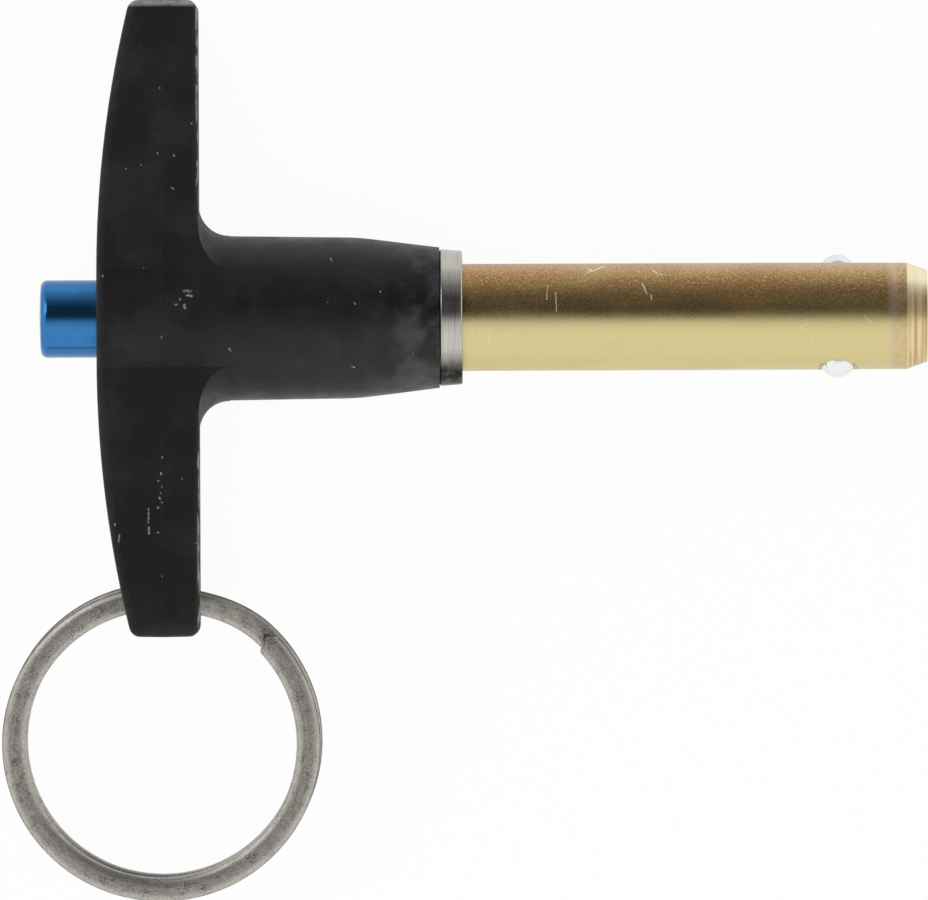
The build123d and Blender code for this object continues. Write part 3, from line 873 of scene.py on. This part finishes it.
class PIN_OT_split_ring(Operator):
    """Wind the split ring that hangs in the handle's hole"""

    bl_idname = "ball_lock_pin.split_ring"
    bl_label = "Split ring"

    def execute(self, context):
        settings = context.scene.pin_ring
        width, thickness = settings.wire_width, settings.wire_thickness
        middle = (ring_low + ring_high) / 2
        radius = (ring_high[0] - ring_low[0]) / 2 - width / 2 - settings.coil_shift
        pitch = thickness + settings.coil_gap
        coil = radians(360) - settings.joggle_angle
        # angles are measured round the ring from its cut; more rows stand in the last tenth of a millimetre at
        # each end, and the first and last are doubled, to be drawn together into the poles that close the wire
        first, last = -coil, settings.joggle_angle + coil
        near_end = np.array([0.03, 0.06, 0.09, 0.12]) * MM / radius
        angle = np.sort(np.r_[first, np.linspace(first, last, 721), first + near_end, last - near_end, last])
        # the wire lies low before the joggle and high after it, and climbs along an S curve between
        climb = np.clip(angle / settings.joggle_angle, 0, 1)
        height = pitch * (climb * climb * (3 - 2 * climb) - 0.5)
        # the coils don't lie quite true: the upper one stands off to the side away from the cut, the lower one
        # towards it, by the shift times the cosine of the angle from that side
        stand_off = -settings.coil_shift * np.cos(angle) * height / (pitch / 2)
        across, up = wire_section(width, thickness).T
        # the edge at each end is broken back along a parabola
        to_end = np.minimum(angle - first, last - angle) * radius
        shrink = 1 - 0.12 * np.clip(1 - to_end / (0.12 * MM), 0, 1) ** 2
        shrink[[0, -1]] = 0
        across, up = shrink[:, None] * across, shrink[:, None] * up
        # the upper end is a chisel: over its last two millimetres the rows are swept back in proportion to the
        # distance from a line outside the wire's middle, the outer side twice as steeply as the inner, and more
        # at the top of the wire than below
        nearing = np.clip(1 - (last - angle) * radius / (2 * MM), 0, 1)[:, None]
        off_line = across - 0.3 * MM
        swept = np.maximum(1.2 * off_line, -0.6 * off_line) + 0.25 * (up + thickness / 2)
        around = angle[:, None] - nearing * swept / radius
        reach = radius + stand_off[:, None] + across
        flat = np.stack([reach * np.cos(around), reach * np.sin(around), height[:, None] + up], axis=-1)
        x_axis = np.array([cos(RING_CUT), sin(RING_CUT) * cos(RING_TILT), sin(RING_CUT) * sin(RING_TILT)])
        points = flat @ np.stack([x_axis, np.cross(ring_axis(), x_axis), ring_axis()]) + middle
        piece = skin("split_ring_wire", points)
        material = drawn_wire(settings, float(spacing(points)[-2]), girth_of(points))
        fit(piece, material, "ring", "split_ring")
        return {"FINISHED"}


class PIN_OT_stage(Operator):
    """Set the floor, the soft light and the camera"""

    bl_idname = "ball_lock_pin.stage"
    bl_label = "Stage"

    def execute(self, context):
        settings = context.scene.pin_stage
        self.lay_floor(context, settings)
        self.light_sky(context)
        self.hang_lamp(context)
        self.place_camera(context, settings)
        return {"FINISHED"}

    def lay_floor(self, context, settings):
        """A square floor under the lowest point. It glows white where the camera or a gloss sees it, and keeps
        part of its own shading, so that the shadow stays."""
        reach, level = 3.0, float(cad_box[0][2])
        corners = [(reach * x, reach * y, level) for x, y in ((-1, -1), (1, -1), (1, 1), (-1, 1))]
        mesh = bpy.data.meshes.new("floor")
        mesh.from_pydata(corners, [], [(0, 1, 2, 3)])
        floor = bpy.data.objects.new("floor", mesh)
        context.scene.collection.objects.link(floor)
        material = finish_named("glowing_white_floor")
        tree = material.node_tree
        path = add(tree, "LightPath").outputs
        mirrored = add(tree, "Math", path["Is Glossy Ray"], path["Is Transmission Ray"], operation="MAXIMUM")
        seen = joined(tree, (path["Is Camera Ray"],), (mirrored, 0.7))
        share = add(tree, "Math", seen, 0.95, operation="MULTIPLY")
        matt = add(tree, "BsdfDiffuse", {"Color": settings.floor})
        glow = add(tree, "Emission", {"Color": settings.floor, "Strength": 1.0})
        both = add(tree, "MixShader", share, matt, glow)
        add(tree, "OutputMaterial", {"Surface": both})
        mesh.materials.append(material)

    def light_sky(self, context):
        """A studio sky. It is bright overhead on the near side, dark in a strip just past the zenith, and
        bright again low on the far side. The angle is measured from straight up towards the far side."""
        world = bpy.data.worlds.new("soft_studio")
        world.use_nodes = True
        context.scene.world = world
        tree = world.node_tree
        tree.nodes.clear()
        direction = add(tree, "TexCoord").outputs["Generated"]
        x, y, z = add(tree, "SeparateXYZ", direction).outputs
        angle = add(tree, "Math", y, z, operation="ARCTAN2")
        sky = add(tree, "ValToRGB", add(tree, "MapRange", angle, -pi, pi))
        stops = [
            (-180, 1.0),
            (-28, 1.0),
            (-9, 0.75),
            (0, 0.20),
            (8, 0.07),
            (35, 0.06),
            (57, 0.26),
            (74, 0.56),
            (90, 0.75),
            (110, 0.92),
        ]
        elements = sky.color_ramp.elements
        elements[0].position, elements[1].position = 0.0, 1.0
        for degrees_over, value in stops[1:]:
            elements.new((degrees_over + 180) / 360)
        levels = [value for _, value in stops] + [1.0]
        for element, value in zip(elements, levels):
            element.color = (value, value, value, 1.0)
        # the strip ends in bright sky: soon on the handle's side, and only low down on the tip's
        left = add(tree, "MapRange", x, -0.3, -0.62, **EASED)
        right = add(tree, "MapRange", x, 0.5, 0.9, **EASED)
        white = linear("#ffffff")
        level = painted(tree, sky, white, joined(tree, (left,), (right,)))
        # a round window stands halfway down the sky, to the far side and the left, twice as bright as white
        towards = (-0.5, 0.5, 0.707)
        facing = add(tree, "VectorMath", direction, towards, operation="DOT_PRODUCT")
        window = add(tree, "MapRange", facing, 0.93, 0.98, **EASED)
        level = painted(tree, level, white, window)
        strength = add(tree, "Math", 1.0, window, operation="ADD")
        light = add(tree, "Background", {"Color": level, "Strength": strength})
        # the camera itself sees plain white
        backdrop = add(tree, "Background", {"Color": white, "Strength": 1.0})
        camera_ray = add(tree, "LightPath").outputs["Is Camera Ray"]
        both = add(tree, "MixShader", camera_ray, light, backdrop)
        add(tree, "OutputWorld", {"Surface": both})

    def hang_lamp(self, context):
        """One large soft lamp overhead on the near side."""
        lamp = bpy.data.lights.new("softbox", "AREA")
        lamp.shape, lamp.size, lamp.energy = "SQUARE", 1.5, 6.5
        box = bpy.data.objects.new("softbox", lamp)
        box.location, box.rotation_euler = (-0.1, -0.86, 1.1), (radians(-38), 0, 0)
        # the sky already shows the softbox to the metals, so the lamp itself only lights and casts the shadow
        box.visible_glossy = False
        context.scene.collection.objects.link(box)

    def place_camera(self, context, settings):
        """A long lens straight above the pin, framed on the whole of it."""
        camera = bpy.data.cameras.new("camera")
        camera.sensor_width = 36
        camera.lens = 36 * settings.camera_height / settings.view_width
        camera.clip_start, camera.clip_end = 0.01, 20
        rig = bpy.data.objects.new("camera", camera)
        rig.location = (0.09 * MM, -11.78 * MM, settings.camera_height)
        rig.rotation_euler = (0, 0, radians(-0.22))
        context.scene.collection.objects.link(rig)
        context.scene.camera = rig
        context.scene.view_settings.view_transform = "Standard"


OPERATORS = (
    PIN_OT_handle,
    PIN_OT_shank,
    PIN_OT_collar,
    PIN_OT_balls,
    PIN_OT_button,
    PIN_OT_spindle,
    PIN_OT_return_spring,
    PIN_OT_split_ring,
    PIN_OT_stage,
)

SETTINGS = {
    "pin_handle": HandleSettings,
    "pin_shank": ShankSettings,
    "pin_collar": CollarSettings,
    "pin_balls": BallSettings,
    "pin_button": ButtonSettings,
    "pin_spring": SpringSettings,
    "pin_ring": RingSettings,
    "pin_stage": StageSettings,
}


class PIN_PT_panel(Panel):
    """Lists the pieces of the pin and what can be changed on each"""

    bl_idname = "PIN_PT_panel"
    bl_label = "Ball lock pin"
    bl_space_type = "VIEW_3D"
    bl_region_type = "UI"
    bl_category = "Ball lock pin"

    def draw(self, context):
        for name, group in SETTINGS.items():
            box = self.layout.box()
            for field in group.__annotations__:
                box.prop(getattr(context.scene, name), field)
        for operator in OPERATORS:
            self.layout.operator(operator.bl_idname)


def register():
    for each in (*SETTINGS.values(), *OPERATORS, PIN_PT_panel):
        bpy.utils.register_class(each)
    for name, group in SETTINGS.items():
        setattr(bpy.types.Scene, name, PointerProperty(type=group))


def unregister():
    for name in SETTINGS:
        delattr(bpy.types.Scene, name)
    for each in reversed((*SETTINGS.values(), *OPERATORS, PIN_PT_panel)):
        bpy.utils.unregister_class(each)


def main():
    register()
    pin = bpy.ops.ball_lock_pin
    pin.handle()
    pin.shank()
    pin.collar()
    pin.balls()
    pin.button()
    pin.spindle()
    pin.return_spring()
    pin.split_ring()
    pin.stage()


if __name__ == "__main__":
    main()
